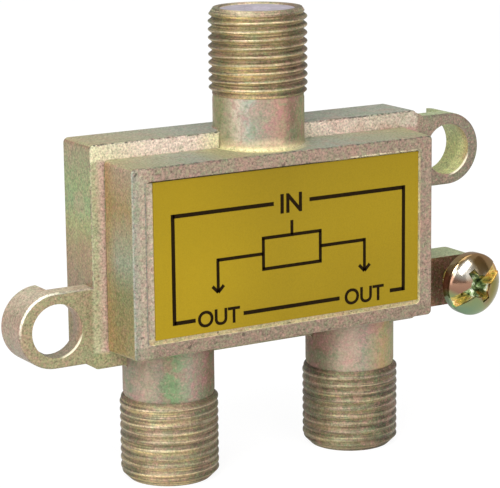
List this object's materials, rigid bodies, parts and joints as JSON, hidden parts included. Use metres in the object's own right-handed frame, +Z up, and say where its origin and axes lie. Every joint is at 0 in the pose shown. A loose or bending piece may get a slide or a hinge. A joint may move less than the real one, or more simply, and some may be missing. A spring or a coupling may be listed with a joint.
{
  "type": "coaxial splitter",
  "caption": "Flat die-cast coaxial signal splitter with a threaded input port on top, threaded output ports below, a label panel, fixing ears and a ground screw.",
  "frame": {"origin": "middle of the back face, which lies against the wall", "axes": "+X to the right as seen from the front, +Y back into the wall, +Z up along the input port"},
  "size_m": [0.0527, 0.0104, 0.0448],
  "materials": {
    "chromated_zinc": "zinc die casting with a yellow iridescent chromate, satin",
    "label_face": "mustard yellow printed foil",
    "tinned_steel": "tinned sheet, dull",
    "seal_resin": "dull sealing bead",
    "plated_screw": "zinc plated, yellow passivated, bright",
    "board_laminate": "bare glass laminate",
    "ferrite": "tumbled ferrite",
    "enamelled_wire": "enamelled copper",
    "component_body": "lacquered",
    "ceramic_disc": "dipped lacquer",
    "insulator_plastic": "pale moulded plastic",
    "contact_bronze": "tinned spring bronze",
    "solder": "smooth solder"
  },
  "bodies": {
    "body": {"housing": "chromated_zinc", "label": "label_face", "rear_cover": "tinned_steel", "cover_seal": "seal_resin", "circuit_board": "board_laminate", "matching_core": "ferrite", "matching_winding": "enamelled_wire", "splitting_core": "ferrite", "splitting_winding": "enamelled_wire", "isolation_resistor": "component_body", "input_capacitor": "ceramic_disc", "trim_capacitor": "component_body", "in_insulator": "insulator_plastic", "in_rear_insulator": "insulator_plastic", "in_contact": "contact_bronze", "in_solder": "solder", "out_left_insulator": "insulator_plastic", "out_left_rear_insulator": "insulator_plastic", "out_left_contact": "contact_bronze", "out_left_solder": "solder", "out_right_insulator": "insulator_plastic", "out_right_rear_insulator": "insulator_plastic", "out_right_contact": "contact_bronze", "out_right_solder": "solder"},
    "screw": {"ground_screw": "plated_screw"}
  },
  "joints": [
    {"name": "ground_screw_travel", "type": "slide", "parent": "body", "child": "screw", "axis": [0, -1, 0], "range_m": [-0.002, 0.0022]}
  ]
}
